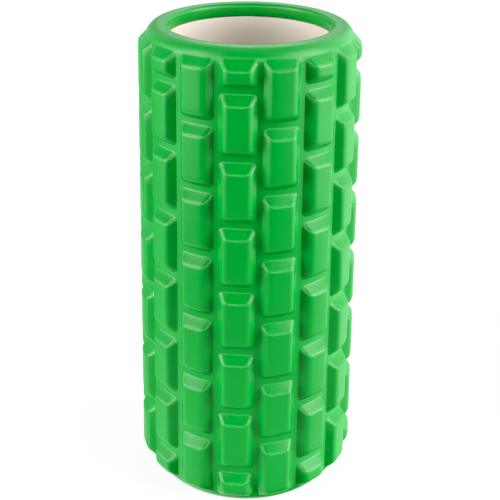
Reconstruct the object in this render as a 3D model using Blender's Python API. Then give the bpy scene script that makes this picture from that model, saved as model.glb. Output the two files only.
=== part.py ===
"""Hollow massage roller: a moulded foam sleeve with rows of raised pads, over a rigid tube.

The roller stands on one end. The origin is the centre of that end, +Z runs along the roller,
and -Y passes through the middle of a column that starts and ends with a half pad.
Lengths are in metres and angles in radians.
"""
import math

import bmesh
import bpy
from mathutils import Matrix, Vector

# Whole roller
LENGTH = 0.300          # end to end, rim to rim
PAD_R = 0.071           # radius over the pads
EDGE_R = 0.0702         # radius where a pad's flank starts to round over into its top
BASE_R = 0.066          # radius of the foam surface between the pads
BORE_R = 0.052          # clear bore, the same through the foam lips and the tube

# Foam ends
RIM_R = 0.0084          # large outer roll-over of each end
RIM_CENTRE_R = BASE_R - RIM_R     # distance from the axis to the roll-over's centre
RIM_START = 0.0052      # depth at which the patterned surface hands over to the rim
RIM_INNER_R = 0.0028    # small rounding into the bore
LIP = 0.009             # depth of the foam lip, from the rim to the tube's end

# Tube
TUBE_WALL = 0.004
TUBE_R = BORE_R + TUBE_WALL       # outer radius
TUBE_CHAMFER = 0.0005
GAP = 0.0003            # clearance between foam and tube

# Pad pattern
COLUMNS = 16            # columns with half pads at their ends and whole-pad columns alternate
COLUMN_ANGLE = 2 * math.pi / COLUMNS
ROWS = 7                # pads in a whole-pad column
PITCH = 0.0416          # pad to pad along a column
PAD_GAP = 0.0041        # groove between two pads of a column
MARGIN = (LENGTH - ROWS * PITCH + PAD_GAP) / 2    # rim to the first pad
BASE_HALF = math.radians(9.8)     # half the pad's foot, as an angle round the axis
EDGE_HALF = math.radians(5.5)     # half the pad where its flank ends
PANEL_HALF = math.radians(3.75)   # half the pad's flat top
EDGE_END = 0.0045       # foot to the end of the flank, along the roller
PANEL_END = 0.0066      # foot to the flat top, along the roller
FOOT_CORNER = 0.0028    # corner of the pad's foot
EDGE_CORNER = 0.0014    # corner of the pad where its flank ends
PANEL_CORNER = 0.0008   # corner of the pad's flat top

# Mesh
SEGMENTS = 64           # sides of every turned ring; a multiple of COLUMNS / 2
RIM_STEPS = 4           # steps of the outer roll-over, beyond the pattern
RIM_INNER_STEPS = 2     # steps of the rounding into the bore
MERGE_DISTANCE = 1e-6
SHARP_ANGLE = math.radians(30)    # edges bent more than this are shaded sharp


def add_material(name, colour, roughness):
    material = bpy.data.materials.new(name)
    material.use_nodes = True
    shader = material.node_tree.nodes["Principled BSDF"]
    shader.inputs["Base Color"].default_value = (*colour, 1.0)
    shader.inputs["Roughness"].default_value = roughness
    shader.inputs["Metallic"].default_value = 0.0
    return material


def green_foam():
    return add_material("green_foam", colour=(0.003, 0.37, 0.035), roughness=0.55)


def white_plastic():
    return add_material("white_plastic", colour=(0.80, 0.78, 0.74), roughness=0.4)


def merge_doubles(bm):
    bmesh.ops.remove_doubles(bm, verts=bm.verts[:], dist=MERGE_DISTANCE)


def add_object(name, bm, material):
    """Close the seams of bm, face it outwards and put it in the scene."""
    merge_doubles(bm)
    bmesh.ops.recalc_face_normals(bm, faces=bm.faces[:])
    mesh = bpy.data.meshes.new(name)
    bm.to_mesh(mesh)
    bm.free()
    mesh.materials.append(material)
    mesh.shade_smooth()
    mesh.set_sharp_from_angle(angle=SHARP_ANGLE)
    bpy.context.scene.collection.objects.link(bpy.data.objects.new(name, mesh))


def loop_edges(bm, verts):
    """Join verts into a closed loop and return its edges."""
    return [bm.edges.new(pair) for pair in zip(verts, verts[1:] + verts[:1])]


# Patterned surface, unrolled: a point is (angle, height), and the radius is its third axis

def base_radius(z):
    """Radius of the foam between the pads at height z, including the rolled rims."""
    depth = min(z, LENGTH - z)
    if depth >= RIM_R:
        return BASE_R
    return RIM_CENTRE_R + math.sqrt(RIM_R ** 2 - (RIM_R - depth) ** 2)


def wrap(angle, z, radius):
    """Roll a point up round the axis. Angle 0 faces -Y and grows towards +X."""
    return Vector((radius * math.sin(angle), -radius * math.cos(angle), z))


def outline(angle, low, high, half, corner, radius):
    """Corner-cut rectangle as (angle, height) pairs, counter-clockwise, starting at the
    middle of the lower edge. corner is a length at the given radius."""
    cut = corner / radius
    return [
        (angle, low),
        (angle + half - cut, low),
        (angle + half, low + corner),
        (angle + half, high - corner),
        (angle + half - cut, high),
        (angle, high),
        (angle - half + cut, high),
        (angle - half, high - corner),
        (angle - half, low + corner),
        (angle - half + cut, low),
    ]


def pad_spans(column):
    """Lower and upper height of every pad in a column."""
    if column % 2:
        bounds = list(range(ROWS + 1))
    else:
        bounds = [0] + [row + 0.5 for row in range(ROWS)] + [ROWS]
    return [
        (MARGIN + start * PITCH, MARGIN + end * PITCH - PAD_GAP)
        for start, end in zip(bounds, bounds[1:])
    ]


def wedge_border():
    """Edge of a sheet two columns wide, as (angle, height) pairs, counter-clockwise."""
    left, right = -COLUMN_ANGLE / 2, COLUMN_ANGLE * 1.5
    low, high = RIM_START, LENGTH - RIM_START
    width, height = right - left, high - low
    across = SEGMENTS * 2 // COLUMNS
    along = 2 * ROWS
    border = [(left + width * i / across, low) for i in range(across)]
    border += [(right, low + height * i / along) for i in range(along)]
    border += [(right - width * i / across, high) for i in range(across)]
    border += [(left, high - height * i / along) for i in range(along)]
    return border


def raise_pad(bm, angle, low, high, foot):
    """Build a pad's flank, rounded edge and flat top on its foot, a loop of vertices."""
    rings = [foot]
    for radius, half, end, corner in (
        (EDGE_R, EDGE_HALF, EDGE_END, EDGE_CORNER),
        (PAD_R, PANEL_HALF, PANEL_END, PANEL_CORNER),
    ):
        points = outline(angle, low + end, high - end, half, corner, radius)
        rings.append([bm.verts.new((*point, radius)) for point in points])
    count = len(foot)
    for lower, upper in zip(rings, rings[1:]):
        for i in range(count):
            j = (i + 1) % count
            bm.faces.new((lower[i], lower[j], upper[j], upper[i]))
    # The top is split along its centre line, so that each half is flat when wrapped
    panel = rings[-1]
    bm.faces.new(panel[: count // 2 + 1])
    bm.faces.new(panel[count // 2:] + panel[:1])


def patterned_wedge(bm):
    """One column of each kind, as a sheet with x = angle, y = height and z = radius.
    The grooves are filled round the pads' feet, and the pads are raised from them."""
    def add_loop(points):
        # The sheet is filled at its true proportions, so that its triangles are well shaped
        verts = [bm.verts.new((angle * BASE_R, height, 0)) for angle, height in points]
        return verts, loop_edges(bm, verts)

    _, edges = add_loop(wedge_border())
    pads = []
    for column in (0, 1):
        angle = column * COLUMN_ANGLE
        for low, high in pad_spans(column):
            foot, foot_edges = add_loop(
                outline(angle, low, high, BASE_HALF, FOOT_CORNER, BASE_R)
            )
            edges += foot_edges
            pads.append((angle, low, high, foot))
    bmesh.ops.triangle_fill(
        bm, use_beauty=True, use_dissolve=False, edges=edges, normal=(0, 0, 1)
    )
    for vert in bm.verts:
        vert.co = (vert.co.x / BASE_R, vert.co.y, base_radius(vert.co.y))
    for pad in pads:
        raise_pad(bm, *pad)


def repeat_wedge(bm):
    """Copy the wrapped wedge round the axis and join the copies."""
    wedge = bm.verts[:] + bm.edges[:] + bm.faces[:]
    for i in range(1, COLUMNS // 2):
        copy = bmesh.ops.duplicate(bm, geom=wedge)["geom"]
        moved = [item for item in copy if isinstance(item, bmesh.types.BMVert)]
        turn = Matrix.Rotation(2 * COLUMN_ANGLE * i, 3, "Z")
        bmesh.ops.rotate(bm, verts=moved, cent=(0, 0, 0), matrix=turn)
    merge_doubles(bm)


# Foam sleeve

def ring_profile():
    """The sleeve's section from the top of the pattern over the upper rim, down the bore and
    round the lower rim, as (radius, z). The first and last points are the pattern's edges."""
    start = math.asin((RIM_R - RIM_START) / RIM_R)
    end_section = []    # (radius, depth below the rim)
    for i in range(RIM_STEPS + 1):
        turn = start + (math.pi / 2 - start) * i / RIM_STEPS
        end_section.append(
            (RIM_CENTRE_R + RIM_R * math.cos(turn), RIM_R - RIM_R * math.sin(turn))
        )
    inner_centre = BORE_R + RIM_INNER_R
    for i in range(RIM_INNER_STEPS + 1):
        turn = math.pi / 2 * i / RIM_INNER_STEPS
        end_section.append((
            inner_centre - RIM_INNER_R * math.sin(turn),
            RIM_INNER_R - RIM_INNER_R * math.cos(turn),
        ))
    end_section += [(BORE_R, LIP), (TUBE_R + GAP, LIP)]
    upper = [(radius, LENGTH - depth) for radius, depth in end_section]
    return upper + end_section[::-1]


def close_sleeve(bm):
    """Extrude the pattern's upper edge along the profile, round to its lower edge."""
    edges = [e for e in bm.edges if len(e.link_faces) == 1 and e.verts[0].co.z > LENGTH / 2]
    for radius, z in ring_profile()[1:]:
        new = bmesh.ops.extrude_edge_only(bm, edges=edges)["geom"]
        edges = [item for item in new if isinstance(item, bmesh.types.BMEdge)]
        for vert in {vert for edge in edges for vert in edge.verts}:
            spoke = Vector((vert.co.x, vert.co.y, 0)).normalized() * radius
            vert.co = (spoke.x, spoke.y, z)


def foam_sleeve():
    bm = bmesh.new()
    patterned_wedge(bm)
    for vert in bm.verts:
        vert.co = wrap(*vert.co)
    repeat_wedge(bm)
    close_sleeve(bm)
    add_object("foam_sleeve", bm, green_foam())


# Core tube

def core_tube():
    """A plain pipe, with a small chamfer on all four end edges."""
    low, high = LIP + GAP, LENGTH - LIP - GAP
    cut = TUBE_CHAMFER
    section = [    # (radius, z)
        (TUBE_R, low + cut), (TUBE_R, high - cut), (TUBE_R - cut, high), (BORE_R + cut, high),
        (BORE_R, high - cut), (BORE_R, low + cut), (BORE_R + cut, low), (TUBE_R - cut, low),
    ]
    bm = bmesh.new()
    verts = [bm.verts.new((radius, 0, z)) for radius, z in section]
    edges = loop_edges(bm, verts)
    bmesh.ops.spin(
        bm, geom=verts + edges, cent=(0, 0, 0), axis=(0, 0, 1),
        angle=2 * math.pi, steps=SEGMENTS, use_merge=True,
    )
    add_object("core_tube", bm, white_plastic())


for old in list(bpy.data.objects):
    bpy.data.objects.remove(old, do_unlink=True)
foam_sleeve()
core_tube()
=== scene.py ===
import math

import bmesh
import bpy
import numpy as np
from mathutils import Matrix, Vector, noise
from mathutils.geometry import delaunay_2d_cdt


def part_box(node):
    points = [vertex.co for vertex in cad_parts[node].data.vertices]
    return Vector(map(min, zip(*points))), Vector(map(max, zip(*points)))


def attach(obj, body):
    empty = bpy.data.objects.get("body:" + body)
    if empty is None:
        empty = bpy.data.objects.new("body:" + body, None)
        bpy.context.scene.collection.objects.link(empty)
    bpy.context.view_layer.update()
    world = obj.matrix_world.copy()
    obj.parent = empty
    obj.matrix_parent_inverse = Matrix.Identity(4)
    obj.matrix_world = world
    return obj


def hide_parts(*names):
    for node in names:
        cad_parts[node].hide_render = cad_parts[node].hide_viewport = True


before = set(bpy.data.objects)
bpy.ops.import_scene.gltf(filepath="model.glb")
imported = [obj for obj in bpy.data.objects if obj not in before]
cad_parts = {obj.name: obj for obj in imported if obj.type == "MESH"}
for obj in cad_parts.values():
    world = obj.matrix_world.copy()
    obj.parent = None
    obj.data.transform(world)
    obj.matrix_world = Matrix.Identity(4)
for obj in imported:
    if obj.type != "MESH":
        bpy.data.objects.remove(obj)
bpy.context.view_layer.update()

# ---------------------------------------------------------------------------------------------
# Sizes. The overall ones come from the frame; the pattern's are the design's own.
# ---------------------------------------------------------------------------------------------
sleeve_low, sleeve_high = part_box("foam_sleeve")
tube_low, tube_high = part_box("core_tube")
LENGTH = sleeve_high.z - sleeve_low.z
PAD_R = sleeve_high.x
TUBE_OUT = tube_high.x
MM = 0.001
BASE_R = PAD_R - 5.0 * MM
BORE_R = 52.0 * MM
RIM_R = 8.4 * MM
RIM_INNER_R = 2.8 * MM
LIP = 9.0 * MM
RECESS_R = TUBE_OUT + 0.3 * MM
COLUMNS, ROWS = 16, 7
MARGIN, PITCH, PAD_GAP = 6.45 * MM, 41.6 * MM, 4.1 * MM
BASE_HALF, PANEL_HALF = math.radians(9.8), math.radians(4.72)
END_SLOPE = 5.4 * MM
RIM_START = 5.2 * MM
STEP = 2 * math.pi / COLUMNS

# Sections of a pad's flank as (inward offset, height) corners, each with the length over which it is
# rounded and its number of points. The sides and the lower end roll into the top, while the upper
# end is a straight bevel with a softly rounded edge.
RUN = 5.44 * MM
RISE = PAD_R - BASE_R
SIDE_FLANK = [(0.0, 0.0, 0.35, 4), (1.4, 1.67, 0.3, 3), (4.2, 5.0, 2.15, 9)]
UPPER_FLANK = [(0.0, 0.0, 0.75, 4), (2.72, 2.5, 0.3, 3), (5.44, 5.0, 1.7, 9)]
FOOT_CORNER = 3.0 * MM
PANEL_CORNER = 1.3 * MM
LOWER_CORNER = 2.4 * MM


def base_radius(z):
    depth = np.minimum(z, LENGTH - z)
    inside = np.clip(RIM_R - depth, 0, RIM_R)
    return BASE_R - RIM_R + np.sqrt(RIM_R ** 2 - inside ** 2)


def flank(section):
    """A section as (inward offset, height), from just outside the foot to just inside the edge."""
    corners = [Vector((o * MM, h * MM)) for o, h, _, _ in section]
    chain = [corners[0] - Vector((MM, 0))] + corners + [corners[-1] + Vector((MM, 0))]
    out = [(-0.9 * MM, 0.0)]
    for i, (_, _, cut, count) in enumerate(section):
        corner = chain[i + 1]
        p0 = corner + (chain[i] - corner).normalized() * cut * MM
        p2 = corner + (chain[i + 2] - corner).normalized() * cut * MM
        for j in range(count):
            t = j / (count - 1)
            p = p0 * (1 - t) ** 2 + corner * 2 * t * (1 - t) + p2 * t * t
            out.append((p.x, p.y))
    out.append((out[-1][0] + 0.2 * MM, RISE))
    return out


def rounded_loop(angle, z0, z1, offset, n_corner, n_side, n_end):
    """A rounded rectangle on the unrolled surface at an inward offset from the pad's foot.
    Returns (angle, z) rows, counter-clockwise from the left end of the lower edge."""
    u = offset / RUN
    half = BASE_HALF + (PANEL_HALF - BASE_HALF) * u
    low, high = z0 + END_SLOPE * u, z1 - END_SLOPE * u
    radius = BASE_R + (PAD_R - BASE_R) * min(max(u, 0), 1)
    lower = FOOT_CORNER + (LOWER_CORNER - FOOT_CORNER) * u
    upper = max(FOOT_CORNER + (PANEL_CORNER - FOOT_CORNER) * u, 0.8 * MM)
    x0, x1 = angle - half, angle + half
    pts = []

    def line(p, q, n):
        for i in range(n):
            t = i / n
            pts.append((p[0] + (q[0] - p[0]) * t, p[1] + (q[1] - p[1]) * t))

    def arc(x, z, corner, start, n):
        cx = x - math.copysign(corner / radius, x - angle)
        cz = z + math.copysign(corner, -math.sin(start + math.pi / 4))
        for i in range(n):
            a = start + math.pi / 2 * i / n
            pts.append((cx + corner / radius * math.cos(a), cz + corner * math.sin(a)))

    line((x0 + lower / radius, low), (x1 - lower / radius, low), n_end)
    arc(x1, low, lower, -math.pi / 2, n_corner)
    line((x1, low + lower), (x1, high - upper), n_side)
    arc(x1, high, upper, 0, n_corner)
    line((x1 - upper / radius, high), (x0 + upper / radius, high), n_end)
    arc(x0, high, upper, math.pi / 2, n_corner)
    line((x0, high - upper), (x0, low + lower), n_side)
    arc(x0, low, lower, math.pi, n_corner)
    return np.array(pts)


def pad_spans(column):
    if column % 2:
        return [(MARGIN + r * PITCH, MARGIN + (r + 1) * PITCH - PAD_GAP) for r in range(ROWS)]
    spans = [(MARGIN, MARGIN + PITCH / 2 - PAD_GAP)]
    spans += [(MARGIN + (r + 0.5) * PITCH, MARGIN + (r + 1.5) * PITCH - PAD_GAP) for r in range(ROWS - 1)]
    spans.append((MARGIN + (ROWS - 0.5) * PITCH, MARGIN + ROWS * PITCH - PAD_GAP))
    return spans


class Sheet:
    """Vertices as (angle, z, height above the base surface) and faces over them."""

    def __init__(self):
        self.rows, self.faces, self.count = [], [], 0

    def add(self, rows):
        block = np.array(rows)
        self.rows.append(block)
        first = self.count
        self.count += len(block)
        return first

    def ring(self, a, b, n):
        for i in range(n):
            j = (i + 1) % n
            self.faces.append((a + i, a + j, b + j, b + i))


CORNER_STEPS, END_STEPS = 5, 4


def side_steps(length):
    return 5 if length > 25 * MM else 2


def pad_loop(angle, z0, z1, side, upper):
    """One loop round a pad, following one section at its sides and lower end and the other at its
    upper end. Returns (angle, z, height) rows."""
    n_side = side_steps(z1 - z0)
    fade = [i / CORNER_STEPS for i in range(CORNER_STEPS)]
    share = [0.0] * (END_STEPS + CORNER_STEPS + n_side) + fade + [1.0] * END_STEPS
    share += [1.0 - f for f in fade] + [0.0] * (n_side + CORNER_STEPS)
    share = np.array(share)[:, None]
    loops = []
    for offset, height in (side, upper):
        pts = rounded_loop(angle, z0, z1, offset, CORNER_STEPS, n_side, END_STEPS)
        loops.append(np.column_stack([pts, np.full(len(pts), height)]))
    return loops[0] * (1 - share) + loops[1] * share


def add_pad(sheet, angle, z0, z1, profile):
    """One raised pad. Returns the index of its outermost loop and that loop's length."""
    n_corner, n_end = CORNER_STEPS, END_STEPS
    n_side = side_steps(z1 - z0)
    loops = [sheet.add(pad_loop(angle, z0, z1, side, upper)) for side, upper in profile]
    n = 2 * (n_side + n_end) + 4 * n_corner
    for a, b in zip(loops, loops[1:]):
        sheet.ring(a, b, n)
    # The flat top: a grid whose corners gather the ends of the last loop's rounded corners
    u = (profile[-1][0][0] + 1.0 * MM) / RUN
    upper_u = (profile[-1][1][0] + 0.7 * MM) / RUN
    half = BASE_HALF + (PANEL_HALF - BASE_HALF) * u
    low, high = z0 + END_SLOPE * u, z1 - END_SLOPE * upper_u
    grid = []
    for j in range(n_side + 1):
        row = [(angle - half + 2 * half * i / n_end, low + (high - low) * j / n_side) for i in range(n_end + 1)]
        grid.append(sheet.add([(a, z, RISE) for a, z in row]))
    for j in range(n_side):
        for i in range(n_end):
            sheet.faces.append((grid[j] + i, grid[j] + i + 1, grid[j + 1] + i + 1, grid[j + 1] + i))
    inner = []
    inner += [grid[0] + i for i in range(n_end)] + [grid[0] + n_end] * n_corner
    inner += [grid[j] + n_end for j in range(n_side)] + [grid[n_side] + n_end] * n_corner
    inner += [grid[n_side] + n_end - i for i in range(n_end)] + [grid[n_side]] * n_corner
    inner += [grid[n_side - j] for j in range(n_side)] + [grid[0]] * n_corner
    last = loops[-1]
    for i in range(n):
        j = (i + 1) % n
        if inner[i] == inner[j]:
            sheet.faces.append((last + i, last + j, inner[i]))
        else:
            sheet.faces.append((last + i, last + j, inner[j], inner[i]))
    return loops[0], n


def wedge():
    """Two neighbouring columns with the grooves round them."""
    sheet = Sheet()
    profile = list(zip(flank(SIDE_FLANK), flank(UPPER_FLANK)))
    owner, flat, edges = [], [], []
    across, along = 24, 60
    left, right = -STEP / 2, STEP * 1.5
    low, high = RIM_START, LENGTH - RIM_START
    border = [(left + (right - left) * i / across, low) for i in range(across)]
    border += [(right, low + (high - low) * i / along) for i in range(along)]
    border += [(right - (right - left) * i / across, high) for i in range(across)]
    border += [(left, high - (high - low) * i / along) for i in range(along)]
    first = sheet.add([(a, z, 0.0) for a, z in border])
    ids = list(range(first, first + len(border)))
    flat += [(a * BASE_R * 1000, z * 1000) for a, z in border]
    owner += [-1] * len(border)
    edges += [(i, (i + 1) % len(border)) for i in range(len(border))]
    pad = 0
    for column in (0, 1):
        for z0, z1 in pad_spans(column):
            start, n = add_pad(sheet, column * STEP, z0, z1, profile)
            pts = pad_loop(column * STEP, z0, z1, *profile[0])
            k = len(flat)
            flat += [(a * BASE_R * 1000, z * 1000) for a, z, _ in pts]
            ids += list(range(start, start + n))
            owner += [pad] * n
            edges += [(k + i, k + (i + 1) % n) for i in range(n)]
            pad += 1
    verts, _, faces, origin, _, _ = delaunay_2d_cdt([Vector(p) for p in flat], edges, [], 0, 1e-6)
    assert len(verts) == len(flat), "the groove's outline crosses itself"
    back = [o[0] for o in origin]
    for face in faces:
        f = [back[i] for i in face]
        owners = {owner[i] for i in f}
        if len(owners) == 1 and owners != {-1}:
            continue
        if owners == {-1}:
            xs = {round(flat[i][0], 4) for i in f}
            ys = {round(flat[i][1], 4) for i in f}
            if len(xs) == 1 or len(ys) == 1:
                continue
        sheet.faces.append(tuple(ids[i] for i in f))
    return np.concatenate(sheet.rows), sheet.faces


def rim_profile():
    """The sleeve's end from the edge of the pattern over the rim and into the bore, as
    (radius, depth from the end), finishing at the bottom of the recess that holds the tube."""
    out = []
    start = math.asin((RIM_R - RIM_START) / RIM_R)
    steps = 11
    for i in range(steps + 1):
        a = start + (math.pi / 2 - start) * i / steps
        out.append((BASE_R - RIM_R + RIM_R * math.cos(a), RIM_R - RIM_R * math.sin(a)))
    inner = BORE_R + RIM_INNER_R
    out.append(((out[-1][0] + inner) / 2, 0.0))
    for i in range(8):
        a = math.pi / 2 * i / 7
        out.append((inner - RIM_INNER_R * math.sin(a), RIM_INNER_R - RIM_INNER_R * math.cos(a)))
    out.append((BORE_R, LIP * 0.55))
    lip_round = 1.1 * MM
    for i in range(5):
        a = math.pi / 2 * i / 4
        out.append((BORE_R + lip_round * (1 - math.cos(a)), LIP - lip_round * (1 - math.sin(a))))
    out.append((RECESS_R - 0.3 * MM, LIP))
    out.append((RECESS_R, LIP))
    return out


def build_sleeve():
    rows, faces = wedge()
    rows = rows.copy()
    radius = base_radius(rows[:, 1])
    radius = radius + rows[:, 2] / RISE * (PAD_R - radius)
    angle, z = rows[:, 0], rows[:, 1]
    verts, all_faces = [], []
    for k in range(COLUMNS // 2):
        a = angle + 2 * STEP * k
        verts.append(np.column_stack([radius * np.sin(a), -radius * np.cos(a), z]))
        shift = k * len(rows)
        all_faces += [tuple(i + shift for i in f) for f in faces]
    count = sum(len(v) for v in verts)
    segments = 12 * COLUMNS
    turn = -STEP / 2 + 2 * math.pi * np.arange(segments) / segments
    rim = rim_profile()
    upper = [(r, LENGTH - d) for r, d in rim]
    # a few rings down the hidden recess keep its faces well proportioned
    recess = [(RECESS_R, LIP + (LENGTH - 2 * LIP) * i / 12) for i in range(11, 0, -1)]
    lower = [(r, d) for r, d in reversed(rim)]
    section = upper + recess + lower
    for r, h in section:
        verts.append(np.column_stack([r * np.sin(turn), -r * np.cos(turn), np.full(segments, h)]))
    for k in range(len(section) - 1):
        a, b = count + k * segments, count + (k + 1) * segments
        for i in range(segments):
            j = (i + 1) % segments
            all_faces.append((a + i, a + j, b + j, b + i))
    verts = np.concatenate(verts)
    mesh = bpy.data.meshes.new("foam_sleeve_skin")
    mesh.from_pydata(verts.tolist(), [], all_faces)
    bm = bmesh.new()
    bm.from_mesh(mesh)
    edge_verts = {v for e in bm.edges if len(e.link_faces) < 2 for v in e.verts}
    bmesh.ops.remove_doubles(bm, verts=list(edge_verts), dist=2e-6)
    bmesh.ops.recalc_face_normals(bm, faces=bm.faces[:])
    open_edges = [e for e in bm.edges if len(e.link_faces) != 2]
    assert not open_edges, f"the sleeve has {len(open_edges)} open edges"
    bm.to_mesh(mesh)
    bm.free()
    return mesh


def soften(mesh):
    """Moulded foam is never dead true: its skin wanders by about a tenth of a millimetre."""
    n = len(mesh.vertices)
    co = np.empty(n * 3)
    mesh.vertices.foreach_get("co", co)
    co = co.reshape(-1, 3)
    out = co.copy()
    for i in range(n):
        p = Vector(co[i])
        r = math.hypot(p.x, p.y)
        if r < BORE_R + 5.0 * MM and LIP - 0.9 * MM < p.z < LENGTH - LIP + 0.9 * MM:
            continue
        slow = noise.noise(p * 28.0)
        fast = noise.noise(p * 95.0 + Vector((7.3, 1.9, 4.1)))
        push = (0.10 * slow + 0.055 * fast) * MM - 0.05 * MM
        out[i, 0] += p.x / r * push
        out[i, 1] += p.y / r * push
    limit = np.hypot(out[:, 0], out[:, 1])
    scale = np.minimum(1.0, PAD_R / limit)
    out[:, :2] *= scale[:, None]
    mesh.vertices.foreach_set("co", out.ravel())
    mesh.update()


def new_object(name, mesh):
    made = bpy.data.objects.new(name, mesh)
    bpy.context.scene.collection.objects.link(made)
    return made


sleeve_mesh = build_sleeve()
soften(sleeve_mesh)
sleeve_mesh.shade_smooth()
sleeve = new_object("foam_sleeve_skin", sleeve_mesh)


# ---------------------------------------------------------------------------------------------
# Core tube: a plain extruded pipe with lightly broken end edges
# ---------------------------------------------------------------------------------------------
def build_tube():
    segments = 12 * COLUMNS
    low, high = tube_low.z, tube_high.z
    inner, outer = BORE_R, TUBE_OUT
    cut = 0.5 * MM
    section = []
    rows = 24
    for i in range(rows + 1):
        section.append((outer, low + cut + (high - low - 2 * cut) * i / rows))
    for i in range(1, 4):
        a = math.pi / 2 * i / 3
        section.append((outer - cut * (1 - math.cos(a)), high - cut + cut * math.sin(a)))
    for i in range(4):
        a = math.pi / 2 * (1 - i / 3)
        section.append((inner + cut * (1 - math.cos(a)), high - cut + cut * math.sin(a)))
    for i in range(1, rows + 1):
        section.append((inner, high - cut - (high - low - 2 * cut) * i / rows))
    for i in range(1, 4):
        a = math.pi / 2 * i / 3
        section.append((inner + cut * (1 - math.cos(a)), low + cut - cut * math.sin(a)))
    for i in range(3):
        a = math.pi / 2 * (1 - i / 3)
        section.append((outer - cut * (1 - math.cos(a)), low + cut - cut * math.sin(a)))
    turn = 2 * math.pi * np.arange(segments) / segments - STEP / 2
    verts = np.concatenate([
        np.column_stack([r * np.sin(turn), -r * np.cos(turn), np.full(segments, z)]) for r, z in section
    ])
    faces = []
    m = len(section)
    for k in range(m):
        a, b = k * segments, (k + 1) % m * segments
        for i in range(segments):
            j = (i + 1) % segments
            faces.append((a + i, a + j, b + j, b + i))
    mesh = bpy.data.meshes.new("core_tube_pipe")
    mesh.from_pydata(verts.tolist(), [], faces)
    bm = bmesh.new()
    bm.from_mesh(mesh)
    bmesh.ops.recalc_face_normals(bm, faces=bm.faces[:])
    assert all(len(e.link_faces) == 2 for e in bm.edges)
    bm.to_mesh(mesh)
    bm.free()
    mesh.shade_smooth()
    mesh.set_sharp_from_angle(angle=math.radians(40))
    return mesh


tube = new_object("core_tube_pipe", build_tube())


# ---------------------------------------------------------------------------------------------
# Materials
# ---------------------------------------------------------------------------------------------
class Nodes:
    """Small helper that builds a material's node tree."""

    def __init__(self, name):
        self.material = bpy.data.materials.new(name)
        self.material.use_nodes = True
        self.tree = self.material.node_tree
        self.tree.nodes.clear()

    def add(self, kind, settings=None, **inputs):
        node = self.tree.nodes.new(kind)
        for key, value in (settings or {}).items():
            setattr(node, key, value)
        for key, value in inputs.items():
            self.set(node, key.replace("_", " "), value)
        return node

    def set(self, node, key, value):
        socket = node.inputs[int(key)] if key.isdigit() else node.inputs[key]
        if isinstance(value, bpy.types.NodeSocket):
            self.tree.links.new(value, socket)
        else:
            socket.default_value = value

    def math(self, operation, a, b=0.0, clamp=False):
        node = self.tree.nodes.new("ShaderNodeMath")
        node.operation = operation
        node.use_clamp = clamp
        self.set(node, "0", a)
        self.set(node, "1", b)
        return node.outputs[0]

    def noise(self, vector, scale, detail=3.0, rough=0.55):
        node = self.add("ShaderNodeTexNoise", Scale=scale, Detail=detail, Roughness=rough)
        self.set(node, "Vector", vector)
        return node.outputs["Fac"]

    def ramp(self, value, low, high, to_low=0.0, to_high=1.0):
        node = self.add("ShaderNodeMapRange", {"clamp": True})
        self.set(node, "Value", value)
        self.set(node, "From Min", low)
        self.set(node, "From Max", high)
        self.set(node, "To Min", to_low)
        self.set(node, "To Max", to_high)
        return node.outputs[0]

    def mix(self, factor, a, b):
        node = self.add("ShaderNodeMix", {"data_type": "RGBA"})
        self.set(node, "0", factor)
        self.tree.links.new(a, node.inputs[6]) if isinstance(a, bpy.types.NodeSocket) else setattr(node.inputs[6], "default_value", (*a, 1))
        self.tree.links.new(b, node.inputs[7]) if isinstance(b, bpy.types.NodeSocket) else setattr(node.inputs[7], "default_value", (*b, 1))
        return node.outputs[2]


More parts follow.
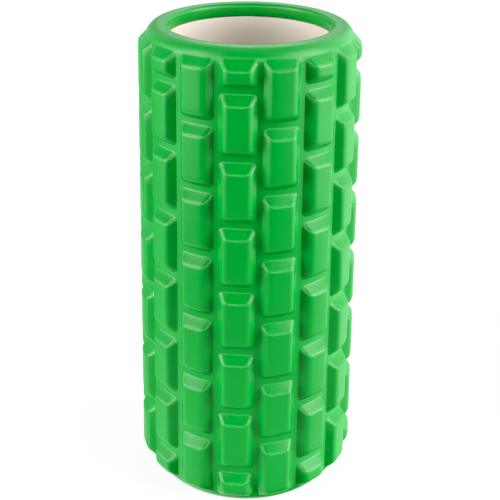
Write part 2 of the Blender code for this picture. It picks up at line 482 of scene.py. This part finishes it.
def foam_material():
    n = Nodes("eva_foam_green")
    where = n.add("ShaderNodeNewGeometry").outputs["Position"]
    cloud = n.noise(where, 22.0, 3.0)
    mottle = n.noise(where, 240.0, 4.0, 0.6)
    colour = n.mix(n.ramp(cloud, 0.3, 0.7), (0.0010, 0.268, 0.026), (0.0012, 0.300, 0.031))
    colour = n.mix(n.ramp(mottle, 0.35, 0.75, 0.0, 0.20), colour, (0.002, 0.33, 0.038))
    # The rolled rims: the flat top ring carries a painted sheen, the end face is a little scuffed with a mottled
    # painted sheen over it, and a few pinholes from moulding have painted shade in them
    parts = n.add("ShaderNodeSeparateXYZ")
    n.set(parts, "Vector", where)
    depth = n.math("SUBTRACT", LENGTH / 2, n.math("ABSOLUTE", n.math("SUBTRACT", parts.outputs["Z"], LENGTH / 2)))
    across = n.math("MULTIPLY", parts.outputs["X"], parts.outputs["X"])
    across = n.math("ADD", across, n.math("MULTIPLY", parts.outputs["Y"], parts.outputs["Y"]))
    radius = n.math("POWER", across, 0.5)
    painted_sheen_ring = n.math("MULTIPLY", n.ramp(depth, 0.0042, 0.0012), n.ramp(radius, 0.0545, 0.0585))
    # painted sheen: the flat top ring of each rim is lightened to a paler, greyer green
    colour = n.mix(n.math("MULTIPLY", painted_sheen_ring, 0.6), colour, (0.036, 0.295, 0.062))
    scuff_and_sheen = n.math("MULTIPLY", n.ramp(depth, 0.0016, 0.0003), n.ramp(mottle, 0.35, 0.65, 0.25, 0.60))
    # scuffing and painted sheen: the end faces are mottled to a duller, greyer green and made rougher
    colour = n.mix(scuff_and_sheen, colour, (0.022, 0.245, 0.042))
    cells = n.add("ShaderNodeTexVoronoi", Scale=430.0)
    n.set(cells, "Vector", where)
    dot = n.ramp(cells.outputs["Distance"], 0.26, 0.12)
    chosen = n.math("GREATER_THAN", n.math("MULTIPLY", cells.outputs["Color"], 1.0), 0.72)
    near_end = n.math("MULTIPLY", n.ramp(depth, 0.0034, 0.0022), n.ramp(cloud, 0.52, 0.60))
    shaded_pinhole = n.math("MULTIPLY", n.math("MULTIPLY", dot, chosen), near_end)
    # painted shade: the pinholes near the ends are darkened almost to black
    colour = n.mix(n.math("MULTIPLY", shaded_pinhole, 0.85), colour, (0.0005, 0.040, 0.004))
    rough = n.math("ADD", n.ramp(mottle, 0.3, 0.7, 0.29, 0.37), n.math("MULTIPLY", scuff_and_sheen, 0.12))
    cell = n.noise(where, 1500.0, 2.0, 0.5)
    skin = n.noise(where, 420.0, 3.0, 0.5)
    height = n.math("ADD", n.math("MULTIPLY", cell, 0.35), n.math("MULTIPLY", skin, 0.65))
    height = n.math("SUBTRACT", height, n.math("MULTIPLY", shaded_pinhole, 3.0))
    bump = n.add("ShaderNodeBump", Strength=0.12, Distance=0.0003)
    n.set(bump, "Height", height)
    shader = n.add("ShaderNodeBsdfPrincipled", Metallic=0.0, IOR=1.46)
    n.set(shader, "Base Color", colour)
    n.set(shader, "Roughness", rough)
    n.set(shader, "Normal", bump.outputs[0])
    shader.inputs["Specular IOR Level"].default_value = 0.40
    out = n.add("ShaderNodeOutputMaterial")
    n.tree.links.new(shader.outputs[0], out.inputs[0])
    return n.material


def tube_material():
    n = Nodes("tube_white_plastic")
    where = n.add("ShaderNodeNewGeometry").outputs["Position"]
    stretch = n.add("ShaderNodeMapping")
    n.set(stretch, "Vector", where)
    stretch.inputs["Scale"].default_value = (1.0, 1.0, 0.04)
    draw = n.noise(stretch.outputs[0], 420.0, 3.0)
    cloud = n.noise(where, 30.0, 3.0)
    colour = n.mix(n.ramp(cloud, 0.3, 0.7), (0.668, 0.592, 0.519), (0.703, 0.630, 0.560))
    bump = n.add("ShaderNodeBump", Strength=0.10, Distance=0.0002)
    n.set(bump, "Height", draw)
    shader = n.add("ShaderNodeBsdfPrincipled", Metallic=0.0, IOR=1.5)
    n.set(shader, "Base Color", colour)
    n.set(shader, "Roughness", n.ramp(draw, 0.3, 0.7, 0.42, 0.52))
    n.set(shader, "Normal", bump.outputs[0])
    out = n.add("ShaderNodeOutputMaterial")
    n.tree.links.new(shader.outputs[0], out.inputs[0])
    return n.material


sleeve_mesh.materials.append(foam_material())
tube.data.materials.append(tube_material())

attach(sleeve, "root")
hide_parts("foam_sleeve")
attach(tube, "root")
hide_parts("core_tube")

# ---------------------------------------------------------------------------------------------
# Floor, light and camera
# ---------------------------------------------------------------------------------------------
scene = bpy.context.scene
scene.view_settings.view_transform = "Standard"
scene.view_settings.look = "None"
# A slightly raised black point, as in a contrasty product photo
scene.view_settings.use_curve_mapping = True
scene.view_settings.curve_mapping.black_level = (0.02, 0.02, 0.02)
scene.view_settings.curve_mapping.update()


def floor_material():
    n = Nodes("pale_floor")
    where = n.add("ShaderNodeNewGeometry").outputs["Position"]
    colour = n.mix(n.ramp(n.noise(where, 3.0), 0.3, 0.7), (0.10, 0.10, 0.10), (0.11, 0.11, 0.11))
    shader = n.add("ShaderNodeBsdfPrincipled", Roughness=0.9)
    n.set(shader, "Base Color", colour)
    shader.inputs["Specular IOR Level"].default_value = 0.0
    shader.inputs["Emission Color"].default_value = (1.0, 1.0, 1.0, 1.0)
    shader.inputs["Emission Strength"].default_value = 0.90
    out = n.add("ShaderNodeOutputMaterial")
    n.tree.links.new(shader.outputs[0], out.inputs[0])
    return n.material


bpy.ops.mesh.primitive_plane_add(size=12.0, location=(0, 0, -0.0003))
floor = bpy.context.object
floor.name = "floor"
floor.data.materials.append(floor_material())
floor.visible_diffuse = False
floor.visible_glossy = False
floor.visible_shadow = False

AZIMUTH = math.radians(5.574)

# The floor in front of the roller, brightest next to it: it only lights the pads from below
APRON_START, APRON_LENGTH, APRON_WIDTH = 0.08, 0.62, 0.90
bpy.ops.mesh.primitive_plane_add(size=1.0)
apron = bpy.context.object
apron.name = "floor_apron"
apron.scale = (APRON_WIDTH, APRON_LENGTH, 1.0)
apron.rotation_euler = (0, 0, AZIMUTH)
middle = Vector((math.sin(AZIMUTH), -math.cos(AZIMUTH), 0)) * (APRON_START + APRON_LENGTH / 2)
apron.location = (middle.x, middle.y, -0.0002)
apron_glow = Nodes("floor_glow")
away = apron_glow.add("ShaderNodeVectorMath", {"operation": "LENGTH"})
apron_glow.set(away, "0", apron_glow.add("ShaderNodeNewGeometry").outputs["Position"])
glow = apron_glow.add("ShaderNodeEmission")
apron_glow.set(glow, "Strength", apron_glow.ramp(away.outputs["Value"], 0.20, 0.42, 0.95, 0.38))
apron_glow.tree.links.new(glow.outputs[0], apron_glow.add("ShaderNodeOutputMaterial").inputs[0])
apron.data.materials.append(apron_glow.material)
apron.visible_camera = False
apron.visible_shadow = False


def direction(azimuth, elevation):
    """Unit vector towards an azimuth, counted from the camera's side, and an elevation, in degrees."""
    a, e = AZIMUTH + math.radians(azimuth), math.radians(elevation)
    return Vector((math.sin(a) * math.cos(e), -math.cos(a) * math.cos(e), math.sin(e)))


def studio(lobes):
    """A light tent: the sum of soft lobes (azimuth, elevation, sharpness, strength), each a large
    diffuser. The camera itself sees plain white."""
    world = bpy.data.worlds.new("studio")
    world.use_nodes = True
    tree = world.node_tree
    tree.nodes.clear()
    links = tree.links
    ray = tree.nodes.new("ShaderNodeTexCoord").outputs["Generated"]
    total = None
    for azimuth, elevation, sharpness, strength in lobes:
        dot = tree.nodes.new("ShaderNodeVectorMath")
        dot.operation = "DOT_PRODUCT"
        links.new(ray, dot.inputs[0])
        dot.inputs[1].default_value = direction(azimuth, elevation)
        facing = tree.nodes.new("ShaderNodeMath")
        facing.operation = "MAXIMUM"
        links.new(dot.outputs["Value"], facing.inputs[0])
        facing.inputs[1].default_value = 0.0
        lobe = tree.nodes.new("ShaderNodeMath")
        lobe.operation = "POWER"
        links.new(facing.outputs[0], lobe.inputs[0])
        lobe.inputs[1].default_value = sharpness
        add = tree.nodes.new("ShaderNodeMath")
        add.operation = "MULTIPLY_ADD"
        links.new(lobe.outputs[0], add.inputs[0])
        add.inputs[1].default_value = strength
        if total is None:
            add.inputs[2].default_value = 0.0
        else:
            links.new(total, add.inputs[2])
        total = add.outputs[0]
    tent = tree.nodes.new("ShaderNodeBackground")
    tent.inputs[0].default_value = (1, 1, 1, 1)
    links.new(total, tent.inputs[1])
    backdrop = tree.nodes.new("ShaderNodeBackground")
    backdrop.inputs[0].default_value = (1, 1, 1, 1)
    backdrop.inputs[1].default_value = 1.0
    choose = tree.nodes.new("ShaderNodeMixShader")
    links.new(tree.nodes.new("ShaderNodeLightPath").outputs["Is Camera Ray"], choose.inputs[0])
    links.new(tent.outputs[0], choose.inputs[1])
    links.new(backdrop.outputs[0], choose.inputs[2])
    out = tree.nodes.new("ShaderNodeOutputWorld")
    links.new(choose.outputs[0], out.inputs[0])
    return world


# Big diffusers left and right of the roller and softer ones behind it, over it and low down;
# nothing on the camera's side, which leaves the pads facing the camera deep green. The card in
# front of the roller, below, only shows in reflections.
LOBES = [
    (180, 62, 20, 0.4),
    (-62, 35, 46, 9.8), (62, 36, 36, 7.5), (80, 36, 36, 5.4), (105, 36, 36, 1.8),
    (-140, 36, 36, 1.0), (140, 36, 36, 2.5), (180, 36, 36, 5.2),
    (-62, 8, 30, 11.4), (-74, 8, 30, 2.6), (74, 8, 30, 13.1), (-86, 8, 30, 3.0),
    (86, 8, 30, 2.8), (-100, 8, 30, 2.8), (-120, 8, 30, 0.6), (120, 8, 30, 2.6),
    (-145, 8, 30, 0.7), (145, 8, 30, 1.7),
    (-60, -22, 14, 1.3), (60, -22, 14, 2.0), (-90, -22, 14, 0.9), (90, -22, 14, 1.9),
    (125, -22, 14, 1.6), (180, -22, 14, 2.8),
    (-90, -60, 10, 1.9), (180, -60, 10, 1.1),
]
scene.world = studio(LOBES)


def light_card(low, high, half_width, distance, strength):
    """A long card bent round the front of the roller, seen only in reflections. It draws the fine
    bright lines along the upper edges of the pads without lighting the pads themselves."""
    steps = 24
    rows = []
    for elevation in (low, high):
        for i in range(steps + 1):
            rows.append(direction(half_width * (2 * i / steps - 1), elevation) * distance)
    faces = [(i, i + 1, steps + 2 + i, steps + 1 + i) for i in range(steps)]
    mesh = bpy.data.meshes.new("light_card")
    mesh.from_pydata([tuple(r + Vector((0, 0, LENGTH / 2))) for r in rows], [], faces)
    card = bpy.data.objects.new("light_card", mesh)
    scene.collection.objects.link(card)
    nodes = Nodes("card_glow")
    shine = nodes.add("ShaderNodeEmission")
    shine.inputs["Strength"].default_value = strength
    nodes.tree.links.new(shine.outputs[0], nodes.add("ShaderNodeOutputMaterial").inputs[0])
    mesh.materials.append(nodes.material)
    card.visible_camera = False
    card.visible_diffuse = False
    card.visible_shadow = False


light_card(8.0, 24.0, 62.0, 3.0, 6.5)

# Camera, from the roller's own geometry: distances in millimetres from the middle of its top.
# The picture is cut low out of a wider view, so the lens is shifted as on a product camera.
cam_data = bpy.data.cameras.new("camera")
cam = bpy.data.objects.new("camera", cam_data)
scene.collection.objects.link(cam)
FOCAL, DISTANCE, ELEVATION, ROLL = 990.643, 0.62324, math.radians(13.430), math.radians(-0.642)
SIDE, DOWN = -0.079 * MM, 4.959 * MM
SHIFT_Y = -0.47206
cam_data.sensor_width = 36.0
cam_data.sensor_fit = "HORIZONTAL"
cam_data.lens = FOCAL * 36.0 / 500.0
right = Vector((math.cos(AZIMUTH), math.sin(AZIMUTH), 0))
outward = Vector((math.sin(AZIMUTH), -math.cos(AZIMUTH), 0))
back = outward * math.cos(ELEVATION) + Vector((0, 0, math.sin(ELEVATION)))
up = back.cross(right)
x_axis = right * math.cos(ROLL) - up * math.sin(ROLL)
y_axis = right * math.sin(ROLL) + up * math.cos(ROLL)
place = right * SIDE + Vector((0, 0, LENGTH + DOWN)) + back * DISTANCE
cam.matrix_world = Matrix((
    (x_axis.x, y_axis.x, back.x, place.x),
    (x_axis.y, y_axis.y, back.y, place.y),
    (x_axis.z, y_axis.z, back.z, place.z),
    (0, 0, 0, 1),
))
cam_data.clip_start, cam_data.clip_end = 0.01, 100.0
cam_data.shift_y = SHIFT_Y
scene.camera = cam

# The shift belongs to this viewpoint only. From anywhere else the roller is centred in the view.
viewpoint = bpy.data.objects.new("main_viewpoint", None)
scene.collection.objects.link(viewpoint)
viewpoint.location = place
shift = cam_data.driver_add("shift_y")
shift.driver.type = "AVERAGE"
away = shift.driver.variables.new()
away.type = "LOC_DIFF"
away.targets[0].id = cam
away.targets[1].id = viewpoint
for modifier in list(shift.modifiers):
    shift.modifiers.remove(modifier)
for distance, amount in ((0.0, SHIFT_Y), (0.03, 0.0)):
    shift.keyframe_points.insert(distance, amount).interpolation = "LINEAR"
shift.extrapolation = "CONSTANT"
